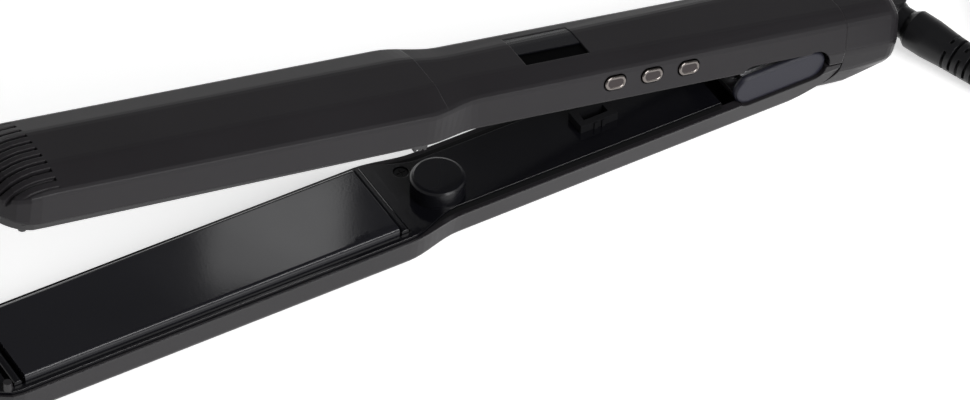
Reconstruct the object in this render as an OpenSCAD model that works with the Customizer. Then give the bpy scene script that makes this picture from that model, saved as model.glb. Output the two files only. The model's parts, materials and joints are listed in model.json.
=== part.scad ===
// Hair straightener: two long arms hinged at the back, each with a floating heated plate.
// It lies open on its lower arm. +X points to the cord, -Y to the button side, +Z up.
// Both arms are drawn from the hinge axis, closed, with the outer face of the arm up.

/* [Plates] */
// Length of each heated plate
plate_l = 110; // [90:1:130]
// Width of the arm's border beside a plate
plate_edge = 3; // [2.7:0.1:5]
// Thickness of each heated plate
plate_t = 3; // [2.4:0.1:3.6]
// Gap between the two plates when the arms are closed
plate_gap = 0.3; // [0.2:0.05:0.6]
// How far a plate gives way under pressure
plate_float = 0.8; // [0.4:0.1:1]
// Width of the flat heater behind a plate
heater_w = 12; // [8:0.5:16]
// Thickness of the flat heater
heater_t = 1.2; // [0.8:0.1:1.6]
// Thickness of the carrier under a plate, with its flange
carrier_t = 3.2; // [2.8:0.1:4]
// Thickness of the silicone pads under a carrier
pad_t = 2.6; // [1.5:0.1:3.5]

/* [Arms] */
// Angle between the arms when they are fully open
open_angle = 12.2; // [8:0.1:15]
// Distance from the hinge axis to the back end of a plate
plate_back = 128; // [120:1:140]
// Length of the nose in front of a plate
nose_l = 13; // [11:0.5:18]
// Width of the head at the parting edge
head_w = 32; // [31.6:0.1:36]
// Depth of one arm at the head
head_d = 14.1; // [13.8:0.1:15.5]
// Width of the flat top of the head
head_top_w = 12.6; // [8:0.2:16]
// Width of the handle at the parting edge
handle_w = 26.8; // [26.4:0.1:29]
// Depth of one arm at the handle
handle_d = 13.4; // [13:0.1:13.7]
// Width of the flat top of the handle behind the neck
grip_top_w = 9; // [7:0.2:12]
// Width of the flat top of the handle at the hinge
tail_top_w = 14; // [11:0.2:16]
// Height of the parting edge above the middle plane
part_z = 3.4; // [3.2:0.1:3.8]
// Height of the edge where the side meets the shoulder
side_z = 11.6; // [10.8:0.1:12]
// Lean of the side over its height at the head
head_lean = 1.2; // [0.6:0.1:2]
// Lean of the side over its height at the handle
handle_lean = 1.9; // [1:0.1:2.2]
// Distance from the hinge axis to the front of the neck
neck_front = 126; // [123:0.5:127]
// Distance from the hinge axis to the back of the neck
neck_back = 109; // [104:0.5:112]
// Distance from the hinge axis to the step across the head's back end
crease = 119.5; // [116:0.5:122]
// Wall of the housings
wall = 2; // [1.6:0.1:2.1]
// Softening of the long edges
edge_r = 1.2; // [0.6:0.1:2]

/* [Vents] */
// Number of cooling slots in each nose
vents = 11; // [7:1:11]
// Width of a cooling slot
vent_w = 1.1; // [0.8:0.1:1.5]
// Distance between cooling slots
vent_pitch = 2.7; // [2.3:0.1:2.8]

/* [Inner covers] */
// Height of the cover round the plate above the middle plane
head_cover_z = 2.4; // [2:0.1:2.8]
// Height of the cover along the handle above the middle plane
handle_cover_z = 3; // [2.9:0.1:3.3]
// Width of the housing rim beside the cover at the head
head_rim = 0.8; // [0.6:0.1:1.2]
// Width of the housing rim beside the cover at the handle
handle_rim = 3.2; // [2.8:0.1:3.6]
// Height of the housing rim
rim_h = 2; // [1.8:0.1:2.4]
// Distance from the hinge axis to the back end of a cover
cover_back = 27; // [26.5:0.5:32]
// Distance from the hinge axis to the round stop
stop_x = 110.5; // [106:0.5:112]
// Radius of the round stop
stop_r = 7.4; // [6:0.1:7.6]
// Distance from the hinge axis to the alignment socket
socket_x = 60.5; // [50:0.5:75]
// Length of the alignment socket
socket_l = 11.5; // [10:0.5:15]
// Width of the alignment socket
socket_w = 6.4; // [5.6:0.2:8]
// Height of the alignment socket
socket_h = 2.6; // [2:0.1:3]

/* [Hinge] */
// Radius of the hinge pin
pin_r = 2; // [1.6:0.1:2.2]
// Radius of the round back end of the lower arm
knuckle_r = 9.3; // [9:0.1:9.8]
// Radius of the ends of the oval hinge caps
cap_r = 4.5; // [4.2:0.1:4.8]
// Distance from the hinge axis to the front centre of a cap
cap_l = 19.5; // [17:0.5:21]
// Thickness of a hinge cap
cap_t = 1.7; // [1.2:0.1:2]
// Outside half width of the lower hinge bracket
lower_ear_y = 10.6; // [10.4:0.1:10.8]
// Outside half width of the upper hinge bracket
upper_ear_y = 8; // [7.6:0.1:8.2]
// Thickness of the bracket ears
ear_t = 1.6; // [1.4:0.1:1.8]
// Height of the brackets' plates above the middle plane
bracket_z = 4.8; // [4.7:0.1:5.2]
// Wire thickness of the opening spring
spring_wire = 1.4; // [1:0.1:1.6]
// Number of turns of the opening spring
spring_turns = 5; // [3:1:6]

/* [Display] */
// Distance from the hinge axis to the middle of the display
display_x = 80.5; // [78:0.5:84]
// Length of the display opening
display_l = 20; // [16:0.5:22]
// Width of the dark window
window_w = 4.7; // [4:0.1:5.2]
// Width of the glossy strip beside the window
strip_w = 7.6; // [6:0.1:8]

/* [Buttons] */
// Distance from the hinge axis to the middle button
button_x = 54.2; // [50:0.2:58]
// Distance between buttons
button_pitch = 11.8; // [10:0.1:13]
// Length of a button
button_l = 6.6; // [5.5:0.1:7.5]
// Width of a button
button_w = 3.9; // [3.2:0.1:4.2]
// Height of the buttons' middle above the middle plane
button_z = 8.4; // [8:0.1:8.6]
// Travel of a button
button_travel = 0.6; // [0.3:0.1:0.7]
// Gap round a button
button_gap = 0.3; // [0.15:0.05:0.4]

/* [End cap and cord] */
// Distance from the hinge axis to the end cap's seam
seam_x = 9.6; // [9.6:0.1:10.5]
// Length of the end cap behind its seam
end_cap_l = 20; // [18:0.5:23]
// Radius of the swivel's neck
neck_r = 4.2; // [3.8:0.1:4.6]
// Radius of the swivel's ball
ball_r = 5; // [4.6:0.1:5.2]
// Distance from the end cap to the middle of the ball
ball_out = 5.8; // [5.6:0.1:6.6]
// Height of the swivel's axis above the middle plane
swivel_z = 1; // [0.6:0.1:1.4]
// Angle by which the cord is turned away from the arm's axis
cord_turn = 70; // [50:1:80]
// Radius of the strain relief at its root
relief_r = 5.7; // [5:0.1:5.9]
// Length of the strain relief from the ball's middle
relief_l = 48; // [40:1:60]
// Radius of the cord
cord_r = 3; // [2.6:0.1:3.4]

/* [Hidden] */

// Clearances
slide_gap = 0.25;
seat_gap = 0.1;
run_gap = 0.05;
arm_gap = 0.4;
cut = 0.01;

// Along the arms, as distances from the hinge axis
plate_front = plate_back + plate_l;
plate_w = head_w - 2 * plate_edge;
nose_x = plate_front + nose_l;
round_w_x = plate_front + 2;
round_z_x = plate_front - 2;
end_x = seam_x + end_cap_l;
ball_x = end_x + ball_out;

// The stack behind a plate, as heights above the middle plane
cavity_z = part_z + rim_h;
plate_z = plate_gap / 2;
plate_under = plate_z + plate_t;
cover_under = cavity_z - seat_gap;
flange_z = cover_under + seat_gap;
flange_t = 1.1;
carrier_under = max(plate_under + carrier_t, flange_z + flange_t);
pad_under = carrier_under + pad_t;
head_floor = head_d - wall;
grip_floor = handle_d - wall;

// Blending between two values
function ease(t) = let(c = min(max(t, 0), 1)) c * c * (3 - 2 * c);
function mix(a, b, t) = a + (b - a) * t;
function neck(x) = ease((x + neck_front) / (neck_front - neck_back));
function grip(x) = min(max((x + neck_back) / neck_back, 0), 1);
function nose(x, from, end) = let(t = min(max((-x - from) / (end - from), 0), 0.985)) sqrt(1 - t * t);

// Half widths and heights of an arm at x
function nose_w(x) = nose(x, round_w_x, nose_x);
function nose_z(x) = nose(x, round_z_x, nose_x + 0.4);
function half_w(x) = mix(head_w, handle_w, neck(x)) / 2 * nose_w(x);
function lean(x) = mix(head_lean, handle_lean + 0.4 * grip(x), neck(x));
function side_w(x) = half_w(x) - lean(x) * nose_w(x);
function top_w(x) = mix(head_top_w, mix(grip_top_w, tail_top_w, grip(x)), neck(x)) / 2 * nose_w(x);
function depth(x) = mix(head_d, handle_d, min(max((x + crease) / 0.4 + 0.5, 0), 1));
function high(x, z) = part_z + (z - part_z) * nose_z(x);

// Stations along the arms, from the nose to the back
NOSE = [for (t = [1, 0.94, 0.82, 0.65, 0.45, 0.25]) -mix(round_z_x, nose_x, t)];
NECK = [for (i = [0:8]) -mix(neck_front, neck_back, i / 8)];
STATIONS = concat(NOSE, [-round_z_x, -plate_back - 2], [for (x = NECK) if (x < -crease - 0.5) x],
    [-crease - 0.2, -crease + 0.2], [for (x = NECK) if (x > -crease + 0.5) x], [-80, -50, -20, seam_x]);

// Soft corner at b between a and c
function corner(a, b, c, r) = let(p = b + (a - b) * min(r / norm(a - b), 0.45),
    q = b + (c - b) * min(r / norm(c - b), 0.45))
    [for (t = [0, 0.5, 1]) (1 - t) * (1 - t) * p + 2 * t * (1 - t) * b + t * t * q];
function soften(p, r) = [for (i = [1:len(p) - 2]) each corner(p[i - 1], p[i], p[i + 1], r)];

// Outline of an arm across x, from its base: side, shoulder, flat top, shoulder, side
function across(x, inset, base) = let(w = half_w(x) - inset,
    s = side_w(x) - inset + lean(x) * nose_w(x) * inset / (side_z - part_z),
    t = top_w(x) - inset / 3, zs = high(x, side_z) - inset, zt = high(x, depth(x)) - inset,
    wb = mix(w, s, (base - part_z) / (side_z - part_z)))
    concat([[-wb, base]], soften([[-wb, base], [-s, zs], [-t, zt], [t, zt], [s, zs], [wb, base]], edge_r),
    [[wb, base]]);
function ring(x, outline) = [for (p = outline) [x, p[0], p[1]]];

// Solid through rings that have the same number of points
module loft(rings) {
    n = len(rings[0]);
    m = len(rings);
    points = [for (r = rings) each r];
    sides = [for (i = [0:m - 2], j = [0:n - 1]) let(a = i * n + j, b = i * n + (j + 1) % n)
        each [[a, b, b + n], [a, b + n, a + n]]];
    ends = [[for (j = [n - 1:-1:0]) j], [for (j = [0:n - 1]) (m - 1) * n + j]];
    polyhedron(points, concat(sides, ends));
}

// Plate with round ends from x = a to x = b, lying in the XY plane
module stadium(a, b, r, h) {
    for (x = [a, b]) translate([x, 0, 0]) cylinder(r = r, h = h, $fn = 48);
    translate([a, -r, 0]) cube([b - a, 2 * r, h]);
}
// The same plate standing in the XZ plane, from y to y + h
module upright(a, b, r, y, h) {
    translate([0, y + h, 0]) rotate([90, 0, 0]) stadium(a, b, r, h);
}
// Cylinder along Y, centred on the middle plane
module axle(r, h) {
    rotate([90, 0, 0]) cylinder(r = r, h = h, center = true, $fn = 64);
}
module both_sides() {
    children();
    mirror([0, 1, 0]) children();
}
module slab(x0, x1, w, z0, z1) {
    translate([x0, -w / 2, z0]) cube([x1 - x0, w, z1 - z0]);
}

// Places: the object lies on the lower head, centred over its box
tail_r = 5.2;
cup_r = ball_r + 1.3;
ear_r = 2.4;
reach_x = (ball_x + ear_r) * cos(open_angle) + (swivel_z + cup_r - seat_gap) * sin(open_angle);
mid_x = (reach_x - nose_x) / 2;
module placed() {
    translate([-mid_x, 0, head_d]) children();
}
module lower() {
    placed() mirror([0, 0, 1]) children();
}
module upper() {
    placed() rotate([0, open_angle, 0]) children();
}

// Outline of a cover or of its seat in the housing, set in from the housing's edge
function rim(x) = mix(head_rim, handle_rim, neck(x));
COVER = [for (x = STATIONS) if (x > -nose_x + 3 && x < -60) x];
module cover_outline(gap) {
    side = [for (x = COVER) [x, half_w(x) - rim(x) - gap]];
    back = [-cover_back, half_w(-cover_back) - handle_rim - gap];
    right = concat(side, [back]);
    left = [for (i = [len(right) - 1:-1:0]) [right[i][0], -right[i][1]]];
    polygon(concat(right, left));
}

// Slots over the nose, each one an upright slice outside an inner curve
module vent_slots() {
    reach = nose_x - round_z_x;
    for (i = [0:vents - 1]) {
        y = (i - (vents - 1) / 2) * vent_pitch;
        translate([-round_z_x, y + vent_w / 2, part_z + 2]) rotate([90, 0, 0]) linear_extrude(vent_w)
            difference() {
                polygon([[1.5, head_d], [1.5, side_z - part_z - 3], [0, 1.5], [-reach - 2, 1.5],
                    [-reach - 2, head_d]]);
                scale([reach - 3.2, side_z - part_z - 1.6]) circle(r = 1, $fn = 48);
            }
    }
}

// Outside of an arm's housing, with cheeks that reach down beside the hinge
module arm_outside() {
    loft([for (x = STATIONS) ring(x, across(x, 0, part_z))]);
    slab(-cap_r - 1.5, seam_x, handle_w, run_gap, part_z + cut);
}
// Hollow of an arm's housing, open along the hinge, with the seat for its cover
ear_room_w = 2 * (lower_ear_y + seat_gap);
module arm_inside() {
    loft([for (x = concat(STATIONS, [seam_x + 2])) if (x > -nose_x + 3) ring(x, across(x, wall, cavity_z))]);
    translate([0, 0, part_z - 1]) linear_extrude(rim_h + 1 + cut) cover_outline(0);
    slab(-cover_back - cut, seam_x + 2, ear_room_w, -1, bracket_z + ear_t + seat_gap);
    vent_slots();
}
// Posts under the plate's silicone pads
pad_places = [-plate_back - 18, -plate_back - plate_l / 2, -plate_front + 18];
module pad_posts() {
    for (x = pad_places) slab(x - 5, x + 5, plate_w * 0.5, pad_under, head_floor + cut);
}
screw_x = 115.5;
screw_y = 8.2;
post_r = 2.6;

// Side view of the lower arm's round back end, from its top surface round to low_a
slope_x = 12;
stop_a = open_angle + 2;
module back_profile(r, d, low_a, edge) {
    turn = atan2(d, -slope_x) - acos(r / norm([slope_x, d]));
    arc = [for (i = [0:12]) let(a = mix(turn, low_a, i / 12)) r * [cos(a), sin(a)]];
    far = -nose_x - 5;
    w = head_w + 10;
    translate([0, w / 2, 0]) rotate([90, 0, 0]) linear_extrude(w)
        polygon(concat([[far, edge[1][1]], [far, head_d + 1], [-slope_x - 6, head_d + 1], [-slope_x - 6, d],
        [-slope_x, d]], arc, edge));
}
module bracket_bosses() {
    difference() {
        for (x = bracket_screws) translate([x, 0, bracket_z + ear_t])
            cylinder(r = post_r + 0.4, h = grip_floor - bracket_z - ear_t + cut, $fn = 32);
        for (x = bracket_screws) translate([x, 0, bracket_z])
            cylinder(r = 1.1, h = ear_t + screw_deep, $fn = 32);
    }
}
module lower_housing() color("#262629") lower() {
    difference() {
        intersection() {
            arm_outside();
            back_profile(knuckle_r, handle_d, stop_a, [[0, 0.5], [-cap_r, part_z - 1]]);
        }
        intersection() {
            arm_inside();
            back_profile(knuckle_r - wall, grip_floor, -10, [[0, -2], [-cap_r, -2]]);
        }
        both_sides() upright(-cap_l, 0, cap_r + seat_gap, lower_ear_y - 0.5, 5);
    }
    bracket_bosses();
    pad_posts();
    difference() {
        translate([-screw_x, screw_y, cover_under])
            cylinder(r = post_r, h = grip_floor - cover_under + cut, $fn = 32);
        translate([-screw_x, screw_y, cover_under - 1]) cylinder(r = 1.1, h = 5, $fn = 24);
    }
}

// Screen, buttons and other openings of the upper arm
screen_y0 = -4.3;
screen_y1 = screen_y0 + window_w + strip_w;
module screen_opening() {
    translate([-display_x - display_l / 2, screen_y0, grip_floor - 2])
        cube([display_l, screen_y1 - screen_y0, 8]);
}
button_places = [-button_x - button_pitch, -button_x, -button_x + button_pitch];
function lean_angle(x) = atan2(lean(x), side_z - part_z);
function face_y(x, z) = -mix(half_w(x), side_w(x), (z - part_z) / (side_z - part_z));
// Children stand on the button side, with their z axis pointing out of it
module on_side(x) {
    translate([x, face_y(x, button_z), button_z]) rotate([90 - lean_angle(x), 0, 0]) children();
}
module button_shape(grow, z0, z1) {
    half = (button_l - button_w) / 2;
    translate([0, 0, z0]) stadium(-half, half, button_w / 2 + grow, z1 - z0);
}
ring_r = cap_r + 0.8;
board_z = 7.4;
board_t = 1.2;
board_x0 = -display_x - display_l / 2 - 6;
board_x1 = -button_x + button_pitch + 8;
board_w = 15;
module board_holes() {
    for (x = [board_x0 + 3, board_x1 - 3], y = [-1, 1]) translate([x, y * (board_w / 2 - 2.5), 0]) children();
}
module upper_housing() color("#2a2a2c") upper() {
    difference() {
        arm_outside();
        arm_inside();
        screen_opening();
        for (x = button_places) on_side(x) button_shape(button_gap, -6, 4);
        both_sides() upright(-cap_l - 1, 0, cap_r + arm_gap, lower_ear_y - 0.5, 5);
        both_sides() upright(0, 0.01, ring_r, lower_ear_y - 0.5, 5);
    }
    pad_posts();
    board_holes() translate([0, 0, board_z + board_t])
        cylinder(r = 1.6, h = grip_floor - board_z - board_t + cut, $fn = 24);
    bracket_bosses();
}

// Inner covers: a rim round the plate and a flat panel along the handle
window_x0 = -plate_front - 4.2;
window_x1 = -plate_back + 3.2;
window_w2 = plate_w + 2 * slide_gap;
module inner_cover() {
    step_x = -neck_front + 4;
    difference() {
        union() {
            intersection() {
                translate([0, 0, head_cover_z]) linear_extrude(cover_under - head_cover_z)
                    cover_outline(seat_gap);
                slab(-nose_x, step_x, head_w, 0, head_d);
            }
            translate([0, 0, handle_cover_z]) linear_extrude(cover_under - handle_cover_z)
                cover_outline(seat_gap);
        }
        slab(window_x0, window_x1, window_w2, 0, head_d);
    }
}
module lower_inner_cover() color("#1c1c20") lower() {
    difference() {
        inner_cover();
        translate([-screw_x, screw_y, handle_cover_z - 1]) cylinder(r = 2.15, h = 1.9, $fn = 32);
        translate([-screw_x, screw_y, 0]) cylinder(r = 1.1, h = head_d, $fn = 24);
        translate([-socket_x, 1, 0]) slab(-socket_l / 2 + 1.2, socket_l / 2 - 1.2, socket_w - 2.4, 0, head_d);
    }
}
module upper_inner_cover() color("#1c1c20") upper() {
    inner_cover();
    tab_l = socket_l - 4.4;
    translate([-socket_x, 1, 0])
        slab(-tab_l / 2, tab_l / 2, 1.8, -handle_cover_z - 0.6, handle_cover_z + cut);
}

// Plate with rounded long edges, drawn with its working face at plate_z
module heated_plate() {
    r = 1.2;
    w = plate_w / 2;
    translate([-plate_back, 0, 0]) rotate([90, 0, -90]) linear_extrude(plate_l) polygon(concat(
        [[-w, plate_under], [w, plate_under]],
        [for (a = [0:-22.5:-90]) [w - r + r * cos(a), plate_z + r + r * sin(a)]],
        [for (a = [-90:-22.5:-180]) [r - w + r * cos(a), plate_z + r + r * sin(a)]]));
}
module lower_plate() color("#34343a") lower() heated_plate();
module upper_plate() color("#34343a") upper() heated_plate();
heater_x0 = -plate_front + 8;
heater_x1 = -plate_back - 8;
module heater() {
    slab(heater_x0, heater_x1, heater_w, plate_under, plate_under + heater_t);
}
module lower_heater() color("#d8d4c8") lower() heater();
module upper_heater() color("#d8d4c8") upper() heater();
module plate_carrier() {
    difference() {
        union() {
            slab(-plate_front + 1, -plate_back - 1, plate_w - 1, plate_under, carrier_under);
            slab(window_x0 - 2, window_x1 + 2, plate_w - 4, flange_z, flange_z + flange_t);
        }
        slab(heater_x0 - 0.3, heater_x1 + 0.3, heater_w + 0.4, 0, plate_under + heater_t + seat_gap);
    }
}
module lower_plate_carrier() color("#4a4640") lower() plate_carrier();
module upper_plate_carrier() color("#4a4640") upper() plate_carrier();
module plate_pads() {
    for (x = pad_places) slab(x - 4, x + 4, plate_w * 0.4, carrier_under, pad_under);
}
module lower_plate_pads() color("#8a8f96") lower() plate_pads();
module upper_plate_pads() color("#8a8f96") upper() plate_pads();

// Bars across both ends of a plate, standing on its carrier
bar_w = 2.2;
bar_over = 1;
module end_bars() {
    r = 0.7;
    h = flange_z - plate_z - bar_over;
    w = plate_w + 0.2;
    for (x = [-plate_front - 1 - bar_w, -plate_back + 0.5]) translate([x, w / 2, plate_z + bar_over])
        rotate([90, 0, 0]) linear_extrude(w) polygon(concat([[bar_w, h], [0, h]],
        [for (a = [180:22.5:270]) [r + r * cos(a), r + r * sin(a)]],
        [for (a = [270:22.5:360]) [bar_w - r + r * cos(a), r + r * sin(a)]]));
}
module lower_end_bars() color("#202024") lower() end_bars();
module upper_end_bars() color("#202024") upper() end_bars();

// Small feet at the corners of the nose that meet when the arms close
module nose_feet() {
    both_sides() translate([-plate_front - 5, plate_w / 2 - 0.1, plate_z])
        cylinder(r1 = 1.1, r2 = 1.5, h = head_cover_z - plate_z, $fn = 32);
}
module lower_nose_feet() color("#18181a") lower() nose_feet();
module upper_nose_feet() color("#18181a") upper() nose_feet();

// Round stop on the lower arm that meets the upper arm's cover
module arm_stop() color("#1a1a1e") lower() {
    top = handle_cover_z - 0.3;
    translate([-stop_x, -2.5, 0]) rotate([180, 0, 0]) rotate_extrude($fn = 64)
        polygon([[0, -handle_cover_z], [stop_r, -handle_cover_z], [stop_r, top - 0.9],
        [stop_r - 0.4, top - 0.3], [stop_r - 1.1, top], [0, top]]);
}
// Socket that keeps the closed arms in line
module alignment_socket() color("#1a1a1e") lower() {
    h = handle_cover_z - socket_h;
    translate([-socket_x, 1, 0]) difference() {
        union() {
            slab(-socket_l / 2, socket_l / 2, socket_w, h, handle_cover_z);
            slab(-socket_l / 2 + 1.3, socket_l / 2 - 1.3, socket_w - 2.6, h, cover_under + 2);
            for (x = [-1, 1]) translate([x * 1.2, 0, 0])
                slab(-0.5, 0.5, socket_w + 0.8, h + 0.4, handle_cover_z);
        }
        slab(-socket_l / 2 + 2, socket_l / 2 - 2, 2.8, -1, cover_under + 1);
    }
}
module cover_screw() color("#8d8d92") lower() translate([-screw_x, screw_y, 0]) {
    difference() {
        union() {
            translate([0, 0, handle_cover_z + 0.4]) cylinder(r = 1.9, h = 0.5, $fn = 32);
            translate([0, 0, handle_cover_z + 0.9]) cylinder(r = 1, h = 5, $fn = 32);
        }
        for (a = [0, 90]) rotate([0, 0, a]) slab(-1.3, 1.3, 0.4, handle_cover_z, handle_cover_z + 0.65);
    }
}

// Hinge: a bracket with two ears in each arm, one inside the other, on one pin
bracket_x0 = -cap_l - 1.5;
bracket_x1 = -cap_r - 2;
bracket_screws = [bracket_x0 + 4, bracket_x1 - 4];
module bracket(y_out, z_in) {
    difference() {
        union() {
            both_sides() translate([0, y_out - ear_t / 2, 0]) axle(cap_r - 0.1, ear_t);
            both_sides() translate([bracket_x0, y_out - ear_t, z_in])
                cube([bracket_x1 - bracket_x0, ear_t, bracket_z + ear_t - z_in]);
            both_sides() translate([bracket_x1 - 2, y_out - ear_t, -cap_r + 1.4])
                cube([2 - bracket_x1, ear_t, 2 * cap_r - 2.8]);
            slab(bracket_x0, bracket_x1, 2 * y_out, bracket_z, bracket_z + ear_t);
        }
        for (x = bracket_screws) translate([x, 0, bracket_z - 1]) cylinder(r = 1.25, h = ear_t + 2, $fn = 32);
        children();
    }
}
module lower_hinge_bracket() color("#9a9a9e") lower() {
    bracket(lower_ear_y, -cap_r + 0.6) axle(pin_r, 40);
}
module upper_hinge_bracket() color("#9a9a9e") upper() {
    bracket(upper_ear_y, 0) axle(pin_r + 1.1, 40);
}
screw_deep = 3;
module bracket_screw_set() {
    for (x = bracket_screws) translate([x, 0, bracket_z]) {
        translate([0, 0, -1.2]) cylinder(r = 2.2, h = 1.2, $fn = 32);
        translate([0, 0, -cut]) cylinder(r = 1.05, h = ear_t + screw_deep - 0.2, $fn = 32);
    }
}
module lower_bracket_screws() color("#8d8d92") lower() bracket_screw_set();
module upper_bracket_screws() color("#8d8d92") upper() bracket_screw_set();
module hinge_pin() color("#b8b8bc") lower() axle(pin_r, 2 * lower_ear_y);
between_ears = lower_ear_y - ear_t - upper_ear_y - 0.1;
module hinge_bushes() color("#d9c9a0") upper() {
    difference() {
        union() {
            both_sides() translate([0, upper_ear_y - ear_t / 2, 0]) axle(pin_r + 1.1, ear_t);
            both_sides() translate([0, upper_ear_y + between_ears / 2, 0]) axle(pin_r + 1.9, between_ears);
        }
        axle(pin_r + run_gap, 40);
    }
}
// Oval caps over the hinge's ears, with a chamfered edge
module hinge_cap() {
    chamfer = 0.4;
    upright(-cap_l, 0, cap_r, lower_ear_y, cap_t - chamfer);
    upright(-cap_l, 0, cap_r - chamfer, lower_ear_y + cut, cap_t - cut);
}
module hinge_cap_near() color("#4a4f58") lower() mirror([0, 1, 0]) hinge_cap();
module hinge_cap_far() color("#4a4f58") lower() hinge_cap();

// Round wire or cable along a path, as a loft of polygons
function heading(p, i) = let(a = p[max(i - 1, 0)], b = p[min(i + 1, len(p) - 1)]) (b - a) / norm(b - a);
function round_rings(p, r, n, ref) = [for (i = [0:len(p) - 1]) let(t = heading(p, i),
    u = cross(t, ref) / norm(cross(t, ref)), v = cross(t, u))
    [for (j = [0:n - 1]) p[i] + r * (cos(360 * j / n) * u - sin(360 * j / n) * v)]];

// Opening spring: a coil round the pin with one leg against each bracket
spring_r = pin_r + 0.5 + spring_wire / 2;
leg_x = -9;
leg_z = bracket_z - spring_wire / 2 - run_gap;
function turned(x, z) = [x * cos(open_angle) + z * sin(open_angle),
    z * cos(open_angle) - x * sin(open_angle)];
low_leg = [leg_x, -leg_z];
high_leg = turned(leg_x, leg_z);
wrap = acos(spring_r / norm(low_leg));
coil_a0 = atan2(low_leg[1], low_leg[0]) + wrap;
coil_a1 = atan2(high_leg[1], high_leg[0]) - wrap + 360 * spring_turns;
spring_w = spring_turns * (spring_wire + 0.3);
coil_steps = 14 * spring_turns;
function on_coil(t) = let(a = mix(coil_a0, coil_a1, t))
    [spring_r * cos(a), (t - 0.5) * spring_w, spring_r * sin(a)];
SPRING = concat([[low_leg[0], -spring_w / 2, low_leg[1]]], [for (i = [0:coil_steps]) on_coil(i / coil_steps)],
    [[high_leg[0], spring_w / 2, high_leg[1]]]);
module opening_spring() color("#a8a8ac") placed() loft(round_rings(SPRING, spring_wire / 2, 6, [0, 1, 0]));

// Electronics under the screen and the buttons
module control_board() color("#1e4d2e") upper() {
    difference() {
        slab(board_x0, board_x1, board_w, board_z, board_z + board_t);
        board_holes() translate([0, 0, board_z - 1]) cylinder(r = 0.8, h = board_t + 2, $fn = 24);
    }
    for (x = button_places) translate([x, -board_w / 2, board_z + board_t - cut])
        translate([-2, -0.3, 0]) cube([4, 2.9, 1.1]);
    slab(board_x1 - 9, board_x1 - 6, 6, board_z + board_t - cut, board_z + board_t + 1.4);
}
module display_module() color("#101014") upper() {
    translate([-display_x - display_l / 2 + 0.6, screen_y0 + 0.4, board_z + board_t])
        cube([display_l - 1.2, screen_y1 - screen_y0 - 0.8, grip_floor - 0.6 - board_z - board_t]);
}
// A piece of the screen, its face following the housing at a depth of sunk
module screen_piece(y0, y1, sunk) {
    x0 = -display_x - display_l / 2;
    intersection() {
        translate([x0 + seat_gap, y0 + seat_gap, grip_floor - 0.5])
            cube([display_l - 2 * seat_gap, y1 - y0 - 2 * seat_gap, 5]);
        loft([for (x = [x0 - 1, x0 + display_l + 1]) ring(x, across(x, sunk, part_z))]);
    }
}
module display_window() color("#08080a") upper() {
    screen_piece(screen_y0, screen_y0 + window_w, 0.5);
}
module display_strip() color("#3a3a3e") upper() {
    screen_piece(screen_y0 + window_w, screen_y1, 0.15);
}
module side_button(x) {
    inner = -wall - 0.2;
    on_side(x) {
        difference() {
            union() {
                button_shape(0, inner, 0.2);
                button_shape(-0.35, 0.2 - cut, 0.55);
            }
            button_shape(-0.9, 0.4, 1);
        }
        translate([0, 0, inner - 0.7]) slab(-button_l / 2 - 0.9, button_l / 2 + 0.9, 2, 0, 0.7 + cut);
    }
}
module power_button() color("#6e6c70") upper() side_button(button_places[0]);
module plus_button() color("#6e6c70") upper() side_button(button_places[1]);
module minus_button() color("#6e6c70") upper() side_button(button_places[2]);

// End cap behind the hinge: a closed shell that falls away below and rounds off at the back
cap_bottom = 10.9;
cap_fall = 4.3;
round_x = end_x - tail_r;
function fall(x) = cap_bottom - cap_fall * pow(min(max((x - 13) / (round_x - 13), 0), 1), 1.2);
function round_off(x) = let(t = min(max((x - round_x) / tail_r, 0), 0.985)) sqrt(1 - t * t);
function rounded(x, v, r) = v - r * (1 - round_off(x));
function cap_ring(x, inset) = let(q = inset, w = rounded(x, half_w(0), tail_r) - q,
    s = rounded(x, side_w(0), tail_r) - q, t = rounded(x, top_w(0), 3) - q / 3,
    zt = rounded(x, handle_d, tail_r) - q, zs = rounded(x, side_z, tail_r) - q,
    b = rounded(x, fall(x), 3.6) - q, bs = b * 0.84, u = t * 0.92,
    p = [[-w, -b * 0.29], [-w, part_z], [-s, zs], [-t, zt], [t, zt], [s, zs], [w, part_z], [w, -b * 0.29],
        [s, -bs], [u, -b], [-u, -b], [-s, -bs]])
    [for (i = [0:11]) each corner(p[(i + 11) % 12], p[i], p[(i + 1) % 12], edge_r)];
CAP_X = concat([2, 9, 14, 19], [for (a = [0:15:75]) round_x + tail_r * sin(a)], [end_x]);
inner_back = end_x - 4.2;
module end_cap() color("#2a2a2c") upper() {
    difference() {
        loft([for (x = CAP_X) ring(x, cap_ring(x, 0))]);
        loft([for (x = [1, 9, 14, 19, inner_back]) ring(x, cap_ring(min(x, round_x), wall))]);
        slab(-5, seam_x, head_w + 4, 0, head_d + 2);
        slab(-5, 4.5, head_w + 4, -head_d, 1);
        axle(knuckle_r + arm_gap, 60);
        translate([inner_back - 1, 0, swivel_z]) rotate([0, 90, 0])
            cylinder(r = neck_r + run_gap, h = 20, $fn = 64);
    }
    slab(seam_x - 6, seam_x + 0.5, 10, grip_floor - 1.7, grip_floor - seat_gap);
    slab(seam_x, seam_x + 4, 10, grip_floor - 1.7, grip_floor + 0.5);
}

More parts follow.
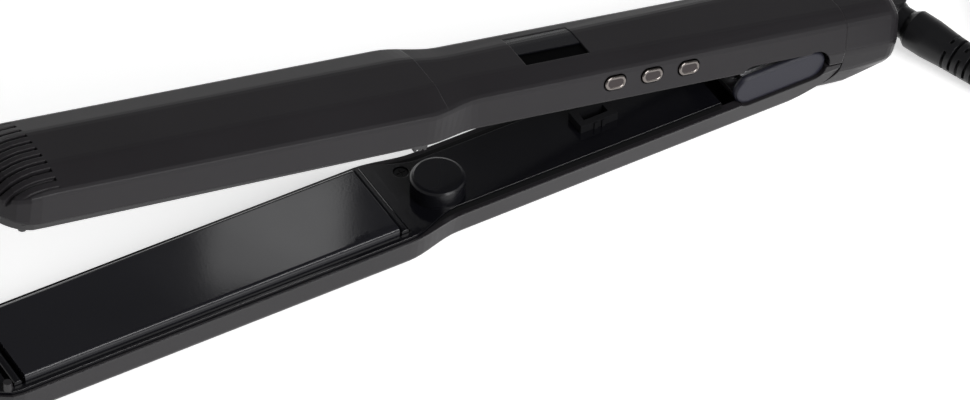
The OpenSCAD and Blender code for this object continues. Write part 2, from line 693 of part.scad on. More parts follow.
// Swivel: a hub that spins in the end cap and a ball that turns sideways in it
module swivelled() {
    upper() translate([ball_x, 0, swivel_z]) children();
}
module swivel_hub() color("#141416") swivelled() {
    seat = ball_out - 0.1;
    clip = end_x - inner_back + ball_out + 0.1;
    difference() {
        union() {
            rotate([0, -90, 0]) rotate_extrude($fn = 64) polygon([[0, 0], [cup_r - 0.5, 1.2],
                [cup_r - 0.2, 2.2], [cup_r - 0.7, 3.6], [neck_r + 0.8, seat - 0.5], [neck_r + 0.8, seat],
                [neck_r, seat], [neck_r, clip], [neck_r + 0.9, clip], [neck_r + 0.9, clip + 1.2],
                [0, clip + 1.2]]);
            for (z = [-cup_r + 0.1, ball_r + 0.1]) translate([0, 0, z]) {
                cylinder(r = ear_r, h = 1.1, $fn = 48);
                translate([-5, -ear_r, 0]) cube([5, 2 * ear_r, 1.1]);
            }
        }
        sphere(r = ball_r + 0.1, $fn = 64);
        translate([-ball_r + 0.4, -20, -ball_r - 0.1]) cube([20, 40, 2 * ball_r + 0.2]);
        rotate([0, -90, 0]) cylinder(r = 1.8, h = 20, $fn = 32);
        cylinder(r = 1, h = 30, center = true, $fn = 32);
    }
}
module swivel_pin() color("#b8b8bc") swivelled() cylinder(r = 1, h = 2 * cup_r, center = true, $fn = 32);

// Strain relief with staggered slots, drawn along +X from the ball
relief_end_r = cord_r + 1;
slot_pitch = 2.4;
slot_w = 0.9;
slot_web = 2.6;
slots = 9;
module relief_body() {
    ball = [for (a = [180:-12:60]) ball_r * [sin(a), cos(a)]];
    rotate([0, 90, 0]) rotate_extrude($fn = 64) polygon(concat(ball, [[4.4, 5.6], [relief_r - 0.5, 6.8],
        [relief_r, 7.6], [relief_r, 13], [relief_r - 0.5, 19], [relief_end_r, relief_l - 0.6],
        [relief_end_r - 0.5, relief_l], [0, relief_l]]));
}
module relief_slots() {
    for (i = [0:slots - 1]) translate([20 + i * slot_pitch, 0, 0]) rotate([90 * (i % 2) + 45, 0, 0])
        difference() {
            rotate([0, 90, 0]) cylinder(r = relief_r + 1, h = slot_w, $fn = 48);
            translate([-1, 0, 0]) rotate([0, 90, 0]) cylinder(r = cord_r + 0.35, h = 4, $fn = 48);
            slab(-1, 3, slot_web, -10, 10);
        }
}
module strain_relief() color("#1b1b1d") swivelled() rotate([0, 0, -cord_turn]) {
    difference() {
        relief_body();
        relief_slots();
        cylinder(r = 1 + run_gap, h = 30, center = true, $fn = 32);
        translate([relief_l - 6, 0, 0]) rotate([0, 90, 0]) cylinder(r = cord_r + run_gap, h = 8, $fn = 48);
    }
}

// Cord: its routes on the floor, its coil and its plug
LEAD = [[155.5, -40.4, 4.5], [157.2, -45.2, 4.1], [160.4, -52.6, 3.7], [164.5, -59.2, 3.4], [169.2, -64.6, 3.2],
    [174.5, -68.2, 3.1], [180.8, -71.2, 3.1]];
TAIL = [[197.6, -62.3, 21.2], [207.7, -65.3, 21.7], [218, -63.5, 22.9], [227, -58.3, 24.1], [233.1, -51.2, 24.8],
    [236.7, -43.1, 25], [237.5, -40.2, 25]];
coil_mid = [207.2, -36];
coil_r = 34;
coil_half = 3 * cord_r;
plug_at = [236.7, -43.1, 25];
plug_turn = 75;
module cord_lead() color("#1b1b1d") loft(round_rings(LEAD, cord_r, 8, [0, 0, 1]));
module cord_tail() color("#1b1b1d") loft(round_rings(TAIL, cord_r, 8, [0, 0, 1]));
module cord_coil() color("#1b1b1d") translate([coil_mid[0], coil_mid[1], 0]) rotate_extrude($fn = 96)
    translate([coil_r - coil_half, 0.1]) square([2 * coil_half, 2 * coil_half]);
plug_l = 34;
plug_w = 26;
plug_h = 13.8;
prong_y = 9.3;
prong_r = 2;
prong_l = 25.5;
function plug_ring(y, w, h) = let(c = 2.6) [for (p = [[-w, -h + c], [-w, h - c], [-w + c, h], [w - c, h],
    [w, h - c], [w, -h + c], [w - c, -h], [-w + c, -h]]) [y, p[0], p[1]]];
module plug_body() color("#1b1b1d") translate(plug_at) rotate([0, 0, plug_turn]) difference() {
    loft([plug_ring(0, 5.2, 5), plug_ring(6, 6, 5.6), plug_ring(14, plug_w / 2 - 1.5, plug_h / 2 - 0.4),
        plug_ring(20, plug_w / 2, plug_h / 2), plug_ring(plug_l, plug_w / 2 - 0.6, plug_h / 2 - 0.2)]);
    translate([-1, 0, 0]) rotate([0, 90, 0]) cylinder(r = cord_r + run_gap, h = 6, $fn = 48);
    for (y = [-prong_y, prong_y]) translate([plug_l - 8, y, 0]) rotate([0, 90, 0])
        cylinder(r = prong_r, h = 10, $fn = 48);
}
module plug_pins() color("#c8c8cc") translate(plug_at) rotate([0, 0, plug_turn])
    for (y = [-prong_y, prong_y]) translate([plug_l - 8, y, 0]) rotate([0, 90, 0]) {
        cylinder(r = prong_r, h = prong_l, $fn = 48);
        translate([0, 0, prong_l - cut]) cylinder(r1 = prong_r, r2 = prong_r - 0.8, h = 1.5 + cut, $fn = 48);
    }

lower_housing();
lower_inner_cover();
lower_plate();
lower_heater();
lower_plate_carrier();
lower_plate_pads();
lower_end_bars();
lower_nose_feet();
arm_stop();
alignment_socket();
cover_screw();
lower_hinge_bracket();
lower_bracket_screws();
hinge_pin();
hinge_cap_near();
hinge_cap_far();
hinge_bushes();
opening_spring();
upper_housing();
upper_inner_cover();
upper_plate();
upper_heater();
upper_plate_carrier();
upper_plate_pads();
upper_end_bars();
upper_nose_feet();
upper_hinge_bracket();
upper_bracket_screws();
control_board();
display_module();
display_window();
display_strip();
power_button();
plus_button();
minus_button();
end_cap();
swivel_hub();
swivel_pin();
strain_relief();
cord_lead();
cord_coil();
cord_tail();
plug_body();
plug_pins();
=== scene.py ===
"""Hair straightener lying open on a pale floor: looks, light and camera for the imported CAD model."""
import json
import math

import bpy
from mathutils import Matrix, Vector


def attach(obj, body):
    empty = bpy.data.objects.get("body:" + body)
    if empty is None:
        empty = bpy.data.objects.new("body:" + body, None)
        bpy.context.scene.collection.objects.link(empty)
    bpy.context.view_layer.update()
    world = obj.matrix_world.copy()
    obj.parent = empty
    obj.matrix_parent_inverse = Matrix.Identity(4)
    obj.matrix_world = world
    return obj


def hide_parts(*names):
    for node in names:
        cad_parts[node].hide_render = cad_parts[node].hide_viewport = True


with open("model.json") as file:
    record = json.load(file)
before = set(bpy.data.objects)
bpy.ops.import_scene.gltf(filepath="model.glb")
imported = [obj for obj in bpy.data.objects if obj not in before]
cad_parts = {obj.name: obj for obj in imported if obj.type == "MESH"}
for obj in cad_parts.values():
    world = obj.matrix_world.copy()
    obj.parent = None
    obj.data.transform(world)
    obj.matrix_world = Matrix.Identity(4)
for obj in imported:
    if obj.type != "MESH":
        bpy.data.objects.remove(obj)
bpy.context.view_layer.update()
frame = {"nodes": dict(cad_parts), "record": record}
NODES = frame["nodes"]
MM = 0.001
COLLECTION = bpy.context.scene.collection


# Frame of the upper arm: along it, across it and up from the hinge axis
def joint(name):
    """The record's entry for a joint."""
    return next(j for j in frame["record"]["behaviour"]["joints"] if j["name"] == name)


HINGE = Vector(joint("arm_hinge")["pos_m"])
OPEN = -math.radians(joint("arm_hinge")["range_deg"][0])


def upper(x, y, z):
    """A point given in millimetres from the hinge axis on the closed upper arm, in its open place."""
    turned = Vector((x * math.cos(OPEN) + z * math.sin(OPEN), y, z * math.cos(OPEN) - x * math.sin(OPEN)))
    return HINGE + MM * turned


# Camera: the photograph's viewing angle, from a fit of the arms' edges
CAMERA_TURN = math.radians(31.3)
CAMERA_TILT = math.radians(43.8)
CAMERA_ROLL = math.radians(1.65)
CAMERA_DISTANCE = 1.634
CAMERA_LENS = 230.2
# The camera stands across from this far in front of the hinge, and is aimed this much to the right and up
AIM_AT = 0.11
AIM_RIGHT = 0.01326
AIM_UP = -0.00644


def make_camera():
    sin_t, cos_t = math.sin(CAMERA_TURN), math.cos(CAMERA_TURN)
    right = Vector((cos_t, -sin_t, 0))
    view = Vector((sin_t * math.cos(CAMERA_TILT), cos_t * math.cos(CAMERA_TILT), -math.sin(CAMERA_TILT)))
    level_up = right.cross(view)
    up = math.cos(CAMERA_ROLL) * level_up - math.sin(CAMERA_ROLL) * right
    right = math.cos(CAMERA_ROLL) * right + math.sin(CAMERA_ROLL) * level_up
    middle = HINGE - Vector((AIM_AT, 0, 0))
    place = middle - CAMERA_DISTANCE * view
    forward = (middle + AIM_RIGHT * right + AIM_UP * up - place).normalized()
    right = (right - right.dot(forward) * forward).normalized()
    up = right.cross(forward)
    data = bpy.data.cameras.new("camera")
    data.lens = CAMERA_LENS
    data.sensor_width = 36
    data.clip_start = 0.05
    data.clip_end = 20
    camera = bpy.data.objects.new("camera", data)
    COLLECTION.objects.link(camera)
    camera.matrix_world = Matrix.LocRotScale(place, Matrix((right, up, -forward)).transposed(), None)
    bpy.context.scene.camera = camera


# Cord: the route of the CAD model in millimetres, with the coil worked out turn by turn
LEAD = [(155.5, -40.4, 4.5), (157.2, -45.2, 4.1), (160.4, -52.6, 3.7), (164.5, -59.2, 3.4),
        (169.2, -64.6, 3.2), (174.5, -68.2, 3.1), (180.8, -71.2, 3.1)]
TAIL = [(197.6, -62.3, 21.2), (207.7, -65.3, 21.7), (218, -63.5, 22.9), (227, -58.3, 24.1),
        (233.1, -51.2, 24.8), (236.7, -43.1, 25), (237.5, -40.2, 25)]
COIL_MIDDLE = (207.2, -36)
# Where the coil starts and ends, in degrees
COIL_START = 255
COIL_END = 238 + 8 * 360
# Radius and height of each turn, and of the place where the tail starts
TURNS = [(40, 3.1), (34, 3.1), (28, 3.1), (28, 9.1), (34, 9.1), (40, 9.1), (40, 15.1), (34, 15.1),
         (28, 15.1), (28, 21.1)]
TURN_STEPS = 36
# Share of a turn over which the cord changes to the next turn's place
CHANGE = 0.39
CORD_R = 3.0


def ease(share):
    """A share of a way that starts and ends gently."""
    share = min(max(share, 0), 1)
    return share * share * (3 - 2 * share)


def blend(a, b, share):
    return a + (b - a) * share


def coil_point(angle):
    """A point of the coil, which goes from one turn's place to the next over the turn's last part."""
    along = (angle - COIL_START) / (COIL_END - COIL_START) * (len(TURNS) - 1)
    turn = min(int(along), len(TURNS) - 2)
    change = ease((along - turn - 1 + CHANGE) / CHANGE)
    radius, height = (blend(a, b, change) for a, b in zip(TURNS[turn], TURNS[turn + 1]))
    turned = math.radians(angle)
    return (COIL_MIDDLE[0] + radius * math.cos(turned), COIL_MIDDLE[1] + radius * math.sin(turned), height)


def cord_route():
    step = 360 / TURN_STEPS
    angles = [COIL_START + i * step for i in range(int((COIL_END - COIL_START) / step) + 1)]
    return LEAD + [coil_point(a) for a in angles] + TAIL


def make_cord():
    points = cord_route()
    curve = bpy.data.curves.new("cord", "CURVE")
    curve.dimensions = "3D"
    curve.bevel_depth = 1
    curve.bevel_resolution = 5
    curve.resolution_u = 4
    spline = curve.splines.new("NURBS")
    spline.points.add(len(points) - 1)
    for point, place in zip(spline.points, points):
        point.co = (*(MM * c for c in place), 1)
        # The radius is here and not in the bevel depth, so that the curve's own box is right
        point.radius = CORD_R * MM
    spline.order_u = 4
    spline.use_endpoint_u = True
    cord = bpy.data.objects.new("cord", curve)
    COLLECTION.objects.link(cord)
    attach(cord, "cord")
    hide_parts("cord_lead", "cord_coil", "cord_tail")
    return cord


# Pieces that are finer than their CAD solids, with the sizes of the part's source in millimetres
HEAD_W = 32
HANDLE_W = 26.8
# The neck goes from the head to the handle between these distances from the hinge axis
NECK_START = 126
NECK_END = 109
# The nose is half an ellipse that starts here, has this length and is cut off at this share of it
NOSE_START = 240
NOSE_L = 11
NOSE_SHARE = 0.985
# Widths of the housing's rim beside the inner cover, and how far the rim is from the closed arms' middle
HEAD_RIM = 0.8
HANDLE_RIM = 3.2
RIM_Z = 3.4


def neck(x):
    """Share of the way from the head to the handle at a place along the arm."""
    return ease((x + NECK_START) / (NECK_START - NECK_END))


def half_width(x):
    """Half the width of the housing at a place along the arm."""
    curve = min(max((-x - NOSE_START) / NOSE_L, 0), NOSE_SHARE)
    return blend(HEAD_W / 2, HANDLE_W / 2, neck(x)) * math.sqrt(1 - curve * curve)


def mesh_piece(name, points, faces, body, soften=0.0, cutter=None):
    """A mesh piece on a body, cut by another object and with its edges bevelled where that is asked."""
    mesh = bpy.data.meshes.new(name)
    mesh.from_pydata([tuple(p) for p in points], [], faces)
    piece = bpy.data.objects.new(name, mesh)
    COLLECTION.objects.link(piece)
    if cutter:
        cut = piece.modifiers.new("cut", "BOOLEAN")
        cut.object = cutter
        cut.solver = "EXACT"
    if soften:
        bevel = piece.modifiers.new("bevel", "BEVEL")
        bevel.width = soften * MM
        bevel.segments = 2
        bevel.limit_method = "ANGLE"
    if cutter or soften:
        graph = bpy.context.evaluated_depsgraph_get()
        made = bpy.data.meshes.new_from_object(piece.evaluated_get(graph))
        piece.modifiers.clear()
        piece.data = made
    if cutter:
        bpy.data.objects.remove(cutter)
    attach(piece, body)
    return piece


def ring_faces(rings, around):
    """Faces between rings of points, and one across each end."""
    faces = []
    for ring in range(rings - 1):
        first = ring * around
        for j in range(around):
            after = (j + 1) % around
            faces.append([first + j, first + after, first + around + after, first + around + j])
    return faces + [list(range(around))[::-1], [(rings - 1) * around + j for j in range(around)]]


def blocks(boxes):
    """Points and faces of boxes on the upper arm, each given by its lowest and highest corner."""
    points, faces = [], []
    for low, high in boxes:
        first = len(points)
        points += [upper(x, y, z) for x in (low[0], high[0]) for y, z in
                   ((low[1], low[2]), (high[1], low[2]), (high[1], high[2]), (low[1], high[2]))]
        sides = [[3, 2, 1, 0], [4, 5, 6, 7]] + [[j, (j + 1) % 4, 4 + (j + 1) % 4, 4 + j] for j in range(4)]
        faces += [[first + i for i in side] for side in sides]
    return points, faces


# Upper inner cover: its lower face slopes from the nose to the plate's back end and steps up at the handle
COVER_TIP = 248
COVER_BACK = 27
NOSE_COVER_Z = 0.9
HEAD_COVER_Z = 2.4
HANDLE_COVER_Z = 3.0
SLOPE_START = 241
COVER_STEP = 122
COVER_TOP = 5.2
COVER_GAP = 0.12
COVER_EDGE = 0.25
TRIM_EDGE = 0.12
# The opening for the plate
PLATE_HOLE = ((-242.2, -13.25, -1), (-124.8, 13.25, 9))
# The tab that goes into the alignment socket
TAB = ((-62.9, 0.15, -3.6), (-57.1, 1.85, 3.2))
# The clips beside the plate's back end, from their front end, with three ribs on each
CLIP_X = -128.8
CLIP_L = 4.2
CLIP_Y = (13.5, 14.85)
CLIP_Z = (1.3, 5)
CLIP_RIB_X = (-128.6, -127.1, -125.6)
CLIP_RIB_L = 0.8
CLIP_RIB_Z = (0.8, 1.6)


def cover_level(x):
    """Height of the cover's lower face."""
    if x > -COVER_STEP:
        return HANDLE_COVER_Z
    share = min(max((x + SLOPE_START) / (SLOPE_START - COVER_STEP), 0), 1)
    return blend(NOSE_COVER_Z, HEAD_COVER_Z, share)


def make_upper_cover():
    """Inner cover of the upper arm, deeper round the nose."""
    # Places along the arm, close together round the nose, at the step and along the neck
    stations = [-COVER_TIP + i for i in (0, 1, 2, 3.5, 5, 7, 10)] + [-230, -200, -160, -128, -126, -124]
    stations += [-COVER_STEP - 0.05, -COVER_STEP + 0.05]
    stations += [*range(-120, -107, 2), -80, -50, -COVER_BACK]
    points = []
    for x in stations:
        side = half_width(x) - blend(HEAD_RIM, HANDLE_RIM, neck(x)) - COVER_GAP
        low = cover_level(x)
        outline = ((-side, low), (side, low), (side, COVER_TOP), (-side, COVER_TOP))
        points += [upper(x, y, z) for y, z in outline]
    corners, faces = blocks([PLATE_HOLE])
    hole = bpy.data.meshes.new("hole")
    hole.from_pydata([tuple(c) for c in corners], [], faces)
    cutter = bpy.data.objects.new("hole", hole)
    COLLECTION.objects.link(cutter)
    cover = mesh_piece("upper_cover", points, ring_faces(len(stations), 4), "upper_arm", COVER_EDGE, cutter)
    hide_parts("upper_inner_cover")
    return cover


def make_cover_trim():
    """Tab and two ribbed clips of the upper arm's inner cover."""
    boxes = [TAB]
    for side in (-1, 1):
        near, far = sorted(side * y for y in CLIP_Y)
        boxes.append(((CLIP_X, near, CLIP_Z[0]), (CLIP_X + CLIP_L, far, CLIP_Z[1])))
        boxes += [((x, near, CLIP_RIB_Z[0]), (x + CLIP_RIB_L, far, CLIP_RIB_Z[1])) for x in CLIP_RIB_X]
    points, faces = blocks(boxes)
    trim = mesh_piece("upper_cover_trim", points, faces, "upper_arm", TRIM_EDGE)
    return trim


# Body and place along the arm of each button, on the handle's side
BUTTONS = {"power_button": ("power_key", -66.0), "plus_button": ("plus_key", -54.2),
           "minus_button": ("minus_key", -42.4)}
BUTTON_Z = 8.4
BUTTON_HALF_STRAIGHT = 1.35
# Radius and height of the rounded ends, from the skirt over the rim to the dish, which has its own material
BUTTON_PROFILE = [(1.95, -2.2), (1.95, 0.1), (1.9, 0.3), (1.78, 0.46), (1.6, 0.56), (1.42, 0.57),
                  (1.25, 0.5), (1.1, 0.42), (1.0, 0.4), (0.5, 0.39)]
DISH_FROM = 7
# The side goes up to here and leans in by this much, and a little more towards the hinge
SIDE_Z = 11.6
HANDLE_LEAN = 1.9
EXTRA_LEAN = 0.4


def pill(half, radius, height, steps=10):
    """Points round a stadium shape, in its own plane at a height."""
    angles = [math.radians(-90 + 180 * i / steps) for i in range(steps + 1)]
    points = [(half + radius * math.cos(a), radius * math.sin(a), height) for a in angles]
    return points + [(-u, -v, w) for u, v, w in points]


def make_button(node, body, x):
    """A metal button with a rounded rim round a shallow dish."""
    lean = HANDLE_LEAN + EXTRA_LEAN * (x + NECK_END) / NECK_END
    angle = math.atan2(lean, SIDE_Z - RIM_Z)
    face = lean * (BUTTON_Z - RIM_Z) / (SIDE_Z - RIM_Z) - HANDLE_W / 2
    points = []
    for radius, height in BUTTON_PROFILE:
        for u, v, w in pill(BUTTON_HALF_STRAIGHT, radius, height):
            across = face + v * math.sin(angle) - w * math.cos(angle)
            up = BUTTON_Z + v * math.cos(angle) + w * math.sin(angle)
            points.append(upper(x + u, across, up))
    around = len(points) // len(BUTTON_PROFILE)
    piece = mesh_piece(node + "_cap", points, ring_faces(len(BUTTON_PROFILE), around), body)
    for polygon in piece.data.polygons:
        polygon.use_smooth = len(polygon.vertices) == 4
        polygon.material_index = int(min(polygon.vertices) // around >= DISH_FROM)
    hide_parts(node)
    return piece


# Materials
class Shade:
    """A procedural material: a tree of nodes round one shader."""

    def __init__(self, name):
        self.material = bpy.data.materials.new(name)
        self.material.use_nodes = True
        self.tree = self.material.node_tree
        self.shader = self.tree.nodes["Principled BSDF"]
        self.place = self.node("ShaderNodeTexCoord").outputs["Object"]
        self.colour = None
        self.rough = None

    def node(self, kind, **values):
        made = self.tree.nodes.new(kind)
        for key, value in values.items():
            setattr(made, key, value)
        return made

    def put(self, source, target):
        """Link a socket, or set a plain value."""
        if hasattr(source, "links"):
            self.tree.links.new(source, target)
        else:
            target.default_value = source

    def work(self, operation, a, b=0.0):
        """A sum or other step of arithmetic."""
        made = self.node("ShaderNodeMath", operation=operation)
        self.put(a, made.inputs[0])
        self.put(b, made.inputs[1])
        return made.outputs[0]

    def ramp(self, value, low, high, out_low=0.0, out_high=1.0, smooth=False):
        """A value taken from one range to another."""
        made = self.node("ShaderNodeMapRange", interpolation_type="SMOOTHSTEP" if smooth else "LINEAR")
        for source, name in ((value, "Value"), (low, "From Min"), (high, "From Max"), (out_low, "To Min"),
                             (out_high, "To Max")):
            self.put(source, made.inputs[name])
        return made.outputs["Result"]

    def noise(self, scale, detail=2.0):
        made = self.node("ShaderNodeTexNoise")
        self.put(self.place, made.inputs["Vector"])
        made.inputs["Scale"].default_value = scale
        made.inputs["Detail"].default_value = detail
        return made.outputs["Fac"]

    def mix(self, factor, a, b):
        """A blend of two colours, whose sockets share their names with the other kinds' and go by number."""
        made = self.node("ShaderNodeMix", data_type="RGBA")
        for source, socket in ((factor, 0), (a, 6), (b, 7)):
            self.put(source, made.inputs[socket])
        return made.outputs[2]


def rgba(colour, share=1.0):
    return (*(c * share for c in colour), 1.0)


# Scale of the clouds in colour and polish, how much polish they change, and the depth of the grain
CLOUD_SCALE = 22
POLISH_SPREAD = 0.03
SMOOTHEST = 0.02
GRAIN_DEPTH = 0.1


def finish(name, colour, rough, metal=0.0, grain=0.0, scale=1500.0, spread=0.05, edge=0.0, specular=0.5):
    """Moulded, coated or metal surface: clouded colour and polish, fine grain and softened edges."""
    s = Shade(name)
    s.shader.inputs["Metallic"].default_value = metal
    s.shader.inputs["Specular IOR Level"].default_value = specular
    cloud = s.noise(CLOUD_SCALE)
    s.colour = s.mix(s.ramp(cloud, 0.35, 0.65), rgba(colour, 1 - spread), rgba(colour, 1 + spread))
    s.put(s.colour, s.shader.inputs["Base Color"])
    s.rough = s.ramp(cloud, 0.3, 0.7, max(rough - POLISH_SPREAD, SMOOTHEST), rough + POLISH_SPREAD)
    s.put(s.rough, s.shader.inputs["Roughness"])
    bump = s.node("ShaderNodeBump")
    bump.inputs["Strength"].default_value = grain
    bump.inputs["Distance"].default_value = GRAIN_DEPTH * MM
    s.put(s.noise(scale, 3), bump.inputs["Height"])
    if edge:
        soft = s.node("ShaderNodeBevel", samples=4)
        soft.inputs["Radius"].default_value = edge * MM
        s.put(soft.outputs["Normal"], bump.inputs["Normal"])
    s.put(bump.outputs["Normal"], s.shader.inputs["Normal"])
    return s


HOUSING = dict(colour=(0.018, 0.0165, 0.0185), rough=0.40, grain=0.12, scale=2600, edge=0.45, specular=0.24)
# Painted shade of a groove inside the housing's rim, whose face stays flat: how far in it starts, its two
# ends along the handle and how they fade
GROOVE_INSET = 1.25
GROOVE_FADE = 0.3
GROOVE_START = 122
GROOVE_START_FADE = 3
GROOVE_END = 27
GROOVE_END_FADE = 1
# Dark colour painted as the shade inside the groove, and the roughness there
PAINTED_GROOVE_SHADE = (0.0025, 0.0025, 0.003)
GROOVE_ROUGH = 0.95
# The polish of the rim goes this deep down the housing's side
RIM_DEPTH = 0.5
RIM_FADE = 0.2
RIM_ROUGH = 0.12


def groove_shade_mask(s, along, across, height):
    """1 where a groove's shade is painted on the rim's flat face and 0 elsewhere, from the places on the arm
    in metres.
    """
    narrow = s.ramp(along, -NECK_START * MM, -NECK_END * MM, smooth=True)
    edge = s.ramp(narrow, 0, 1, HEAD_W / 2 * MM, HANDLE_W / 2 * MM)
    inset = s.work("SUBTRACT", edge, s.work("ABSOLUTE", across))
    width = s.ramp(narrow, 0, 1, HEAD_RIM * MM, HANDLE_RIM * MM)
    outer = s.ramp(inset, GROOVE_INSET * MM, (GROOVE_INSET + GROOVE_FADE) * MM)
    inner = s.ramp(s.work("SUBTRACT", width, inset), 0, 0.1 * MM)
    off = s.work("ABSOLUTE", s.work("SUBTRACT", height, RIM_Z * MM))
    flat = s.ramp(off, 0.1 * MM, 0.2 * MM, 1, 0)
    front = s.ramp(along, -GROOVE_START * MM, (GROOVE_START_FADE - GROOVE_START) * MM)
    back = s.ramp(along, -(GROOVE_END + GROOVE_END_FADE) * MM, -GROOVE_END * MM, 1, 0)
    mask = outer
    for part in (inner, flat, front, back):
        mask = s.work("MULTIPLY", mask, part)
    return mask


def housing(name, turn):
    """Satin housing of an arm, with a polished rim and a groove's shade painted dark on it along the handle.
    """
    s = finish(name, **HOUSING)
    own = s.node("ShaderNodeMapping", vector_type="TEXTURE")
    own.inputs["Location"].default_value = HINGE
    own.inputs["Rotation"].default_value = (0, turn, 0)
    s.put(s.place, own.inputs["Vector"])
    split = s.node("ShaderNodeSeparateXYZ")
    s.put(own.outputs["Vector"], split.inputs["Vector"])
    height = s.work("ABSOLUTE", split.outputs["Z"])
    groove_shade = groove_shade_mask(s, split.outputs["X"], split.outputs["Y"], height)
    # Painted shade: the groove is only this dark colour on the flat rim, not a hollow in the mesh
    s.put(s.mix(groove_shade, s.colour, rgba(PAINTED_GROOVE_SHADE)), s.shader.inputs["Base Color"])
    rim = s.ramp(height, (RIM_Z + RIM_DEPTH) * MM, (RIM_Z + RIM_DEPTH + RIM_FADE) * MM, 1, 0)
    rough = s.ramp(rim, 0, 1, s.rough, RIM_ROUGH)
    rough = s.work("MAXIMUM", rough, s.work("MULTIPLY", groove_shade, GROOVE_ROUGH))
    s.put(rough, s.shader.inputs["Roughness"])
    return s


# The other materials, and the nodes that each is for
LOOKS = {
    "inner_plastic": dict(colour=(0.004, 0.004, 0.0055), rough=0.14, grain=0.02, edge=0.25),
    "stop_plastic": dict(colour=(0.005, 0.005, 0.0065), rough=0.28, grain=0.03, specular=0.35),
    "socket_plastic": dict(colour=(0.007, 0.007, 0.008), rough=0.55, grain=0.05, specular=0.12),
    "cover_satin": dict(colour=(0.014, 0.013, 0.0145), rough=0.34, grain=0.05),
    "plate_ceramic": dict(colour=(0.0135, 0.0135, 0.0165), rough=0.075, grain=0.02, spread=0.04, edge=0.3),
    "steel": dict(colour=(0.45, 0.45, 0.46), rough=0.28, metal=1, edge=0.1),
    "screw_black": dict(colour=(0.01, 0.01, 0.011), rough=0.3, metal=0.4, edge=0.1),
    "cap_satin": dict(colour=(0.017, 0.017, 0.027), rough=0.32, grain=0.04, edge=1.2, specular=0.3),
    "button_metal": dict(colour=(0.2, 0.18, 0.17), rough=0.2, metal=1),
    "button_dish": dict(colour=(0.06, 0.052, 0.052), rough=0.3, metal=1, grain=0.05),
    "cord_rubber": dict(colour=(0.009, 0.009, 0.010), rough=0.34, grain=0.08, scale=1200, spread=0.08,
                        edge=0.2, specular=0.3),
    "screen_black": dict(colour=(0.0004, 0.0004, 0.0006), rough=0.5, spread=0.02, specular=0.03),
    "screen_strip": dict(colour=(0.006, 0.006, 0.008), rough=0.25, spread=0.03, edge=0.15, specular=0.4),
    "trim_black": dict(colour=(0.008, 0.008, 0.009), rough=0.45, grain=0.08, edge=0.2),
    "heater_ceramic": dict(colour=(0.75, 0.72, 0.66), rough=0.6, spread=0.03),
    "carrier_plastic": dict(colour=(0.03, 0.027, 0.024), rough=0.5, grain=0.1),
    "silicone": dict(colour=(0.2, 0.22, 0.25), rough=0.6, spread=0.04),
    "bronze": dict(colour=(0.65, 0.5, 0.3), rough=0.35, metal=1),
    "board": dict(colour=(0.02, 0.12, 0.05), rough=0.4, spread=0.1),
    "pin_metal": dict(colour=(0.7, 0.68, 0.65), rough=0.2, metal=1, spread=0.04),
}
PAINTED = {
    "inner_plastic": ["lower_inner_cover", "lower_end_bars", "upper_end_bars"],
    "stop_plastic": ["arm_stop"],
    "socket_plastic": ["alignment_socket"],
    "cover_satin": ["upper_inner_cover", "upper_nose_feet", "lower_nose_feet"],
    "plate_ceramic": ["lower_plate", "upper_plate"],
    "steel": ["lower_hinge_bracket", "upper_hinge_bracket", "lower_bracket_screws", "upper_bracket_screws",
              "hinge_pin", "opening_spring", "swivel_pin"],
    "screw_black": ["cover_screw"],
    "cap_satin": ["hinge_cap_near", "hinge_cap_far"],
    "button_metal": list(BUTTONS),
    "cord_rubber": ["strain_relief", "plug_body", "cord_lead", "cord_coil", "cord_tail"],
    "screen_black": ["display_window"],
    "screen_strip": ["display_strip"],
    "trim_black": ["display_module", "swivel_hub"],
    "heater_ceramic": ["lower_heater", "upper_heater"],
    "carrier_plastic": ["lower_plate_carrier", "upper_plate_carrier"],
    "silicone": ["lower_plate_pads", "upper_plate_pads"],
    "bronze": ["hinge_bushes"],
    "board": ["control_board"],
    "pin_metal": ["plug_pins"],
}


def paint(shade, nodes):
    for node in nodes:
        mesh = NODES[node].data
        mesh.materials.clear()
        mesh.materials.append(shade.material)


def shade_all(cord, cover_pieces, buttons):
    """Materials of all nodes and of the pieces made here."""
    paint(housing("housing_lower", 0), ["lower_housing"])
    paint(housing("housing_upper", OPEN), ["upper_housing", "end_cap"])
    shades = {name: finish(name, **look) for name, look in LOOKS.items()}
    for name, nodes in PAINTED.items():
        paint(shades[name], nodes)
    for piece in cover_pieces:
        piece.data.materials.append(shades["cover_satin"].material)
    for button in buttons:
        button.data.materials.append(shades["button_metal"].material)
        button.data.materials.append(shades["button_dish"].material)
    cord.data.materials.append(shades["cord_rubber"].material)


# Floor, world and lamps
FLOOR_HALF = 4
FLOOR_GREY = 0.86
# Added where the camera or a reflection sees the floor, so that it is white with a soft shadow
FLOOR_GLOW = 0.6
HORIZON_LIGHT = 0.5
TOP_LIGHT = 0.07
# Height from which the sky is as dark as at the top, as a share of 1
TOP_FROM = 0.7
# Place, target, size in metres and power in watts, where the gleam is the soft light on the lower plate
LAMPS = {
    "key": ((0.35, -1.0, 0.8), (0.1, -0.1, 0), 0.8, 17),
    "rim": ((0.1, 1.3, 0.4), (0.1, 0, 0), 0.5, 1.5),
    "gleam": ((0.478, 0.944, 1.058), (-0.054, 0, 0.014), 0.07, 0.028),
}


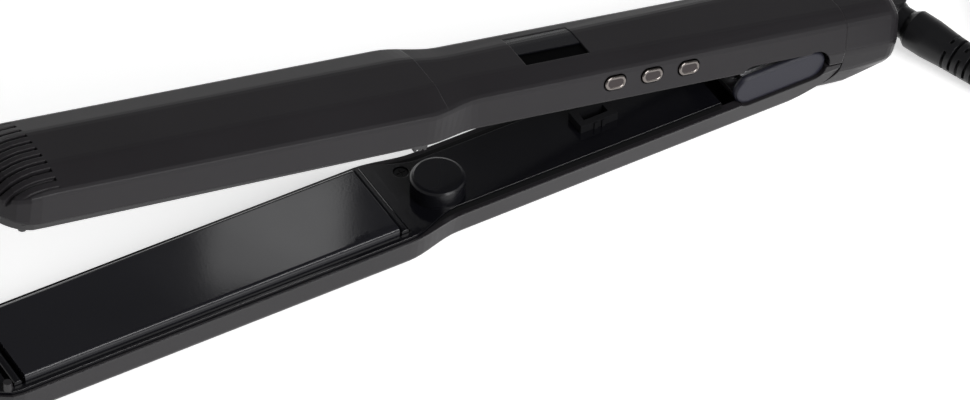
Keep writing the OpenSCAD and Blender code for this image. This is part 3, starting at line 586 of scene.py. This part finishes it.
def floor_material():
    material = bpy.data.materials.new("floor")
    material.use_nodes = True
    tree = material.node_tree
    shader = tree.nodes["Principled BSDF"]
    shader.inputs["Base Color"].default_value = rgba((FLOOR_GREY,) * 3)
    shader.inputs["Roughness"].default_value = 0.9
    glow = tree.nodes.new("ShaderNodeEmission")
    glow.inputs["Color"].default_value = (1, 1, 1, 1)
    glow.inputs["Strength"].default_value = FLOOR_GLOW
    both = tree.nodes.new("ShaderNodeAddShader")
    tree.links.new(shader.outputs["BSDF"], both.inputs[0])
    tree.links.new(glow.outputs["Emission"], both.inputs[1])
    rays = tree.nodes.new("ShaderNodeLightPath")
    seen = rays.outputs["Is Camera Ray"]
    for ray in ("Is Glossy Ray", "Is Transmission Ray"):
        either = tree.nodes.new("ShaderNodeMath")
        either.operation = "MAXIMUM"
        tree.links.new(seen, either.inputs[0])
        tree.links.new(rays.outputs[ray], either.inputs[1])
        seen = either.outputs["Value"]
    mix = tree.nodes.new("ShaderNodeMixShader")
    tree.links.new(seen, mix.inputs["Fac"])
    tree.links.new(shader.outputs["BSDF"], mix.inputs[1])
    tree.links.new(both.outputs["Shader"], mix.inputs[2])
    tree.links.new(mix.outputs["Shader"], tree.nodes["Material Output"].inputs["Surface"])
    return material


def make_floor():
    mesh = bpy.data.meshes.new("floor")
    corners = [(x * FLOOR_HALF, y * FLOOR_HALF, 0) for x, y in ((-1, -1), (1, -1), (1, 1), (-1, 1))]
    mesh.from_pydata(corners, [], [(0, 1, 2, 3)])
    mesh.materials.append(floor_material())
    floor = bpy.data.objects.new("floor", mesh)
    COLLECTION.objects.link(floor)


def make_world():
    """Soft studio light, brighter near the horizon than overhead."""
    world = bpy.data.worlds.new("world")
    bpy.context.scene.world = world
    world.use_nodes = True
    tree = world.node_tree
    background = tree.nodes["Background"]
    background.inputs["Color"].default_value = (1, 1, 1, 1)
    way = tree.nodes.new("ShaderNodeTexCoord")
    split = tree.nodes.new("ShaderNodeSeparateXYZ")
    tree.links.new(way.outputs["Generated"], split.inputs["Vector"])
    level = tree.nodes.new("ShaderNodeMapRange")
    level.inputs["From Min"].default_value = 0.0
    level.inputs["From Max"].default_value = TOP_FROM
    level.inputs["To Min"].default_value = HORIZON_LIGHT
    level.inputs["To Max"].default_value = TOP_LIGHT
    tree.links.new(split.outputs["Z"], level.inputs["Value"])
    tree.links.new(level.outputs["Result"], background.inputs["Strength"])


def make_lamp(name, place, target, size, power):
    data = bpy.data.lights.new(name, "AREA")
    data.energy = power
    data.size = size
    light = bpy.data.objects.new(name, data)
    COLLECTION.objects.link(light)
    light.location = place
    light.rotation_mode = "QUATERNION"
    light.rotation_quaternion = (Vector(target) - Vector(place)).to_track_quat("-Z", "Y")


make_camera()
cord = make_cord()
cover_pieces = [make_upper_cover(), make_cover_trim()]
buttons = [make_button(node, body, x) for node, (body, x) in BUTTONS.items()]
shade_all(cord, cover_pieces, buttons)
make_floor()
make_world()
for name, (place, target, size, power) in LAMPS.items():
    make_lamp(name, place, target, size, power)
bpy.context.scene.view_settings.view_transform = "Standard"

bpy.context.view_layer.update()
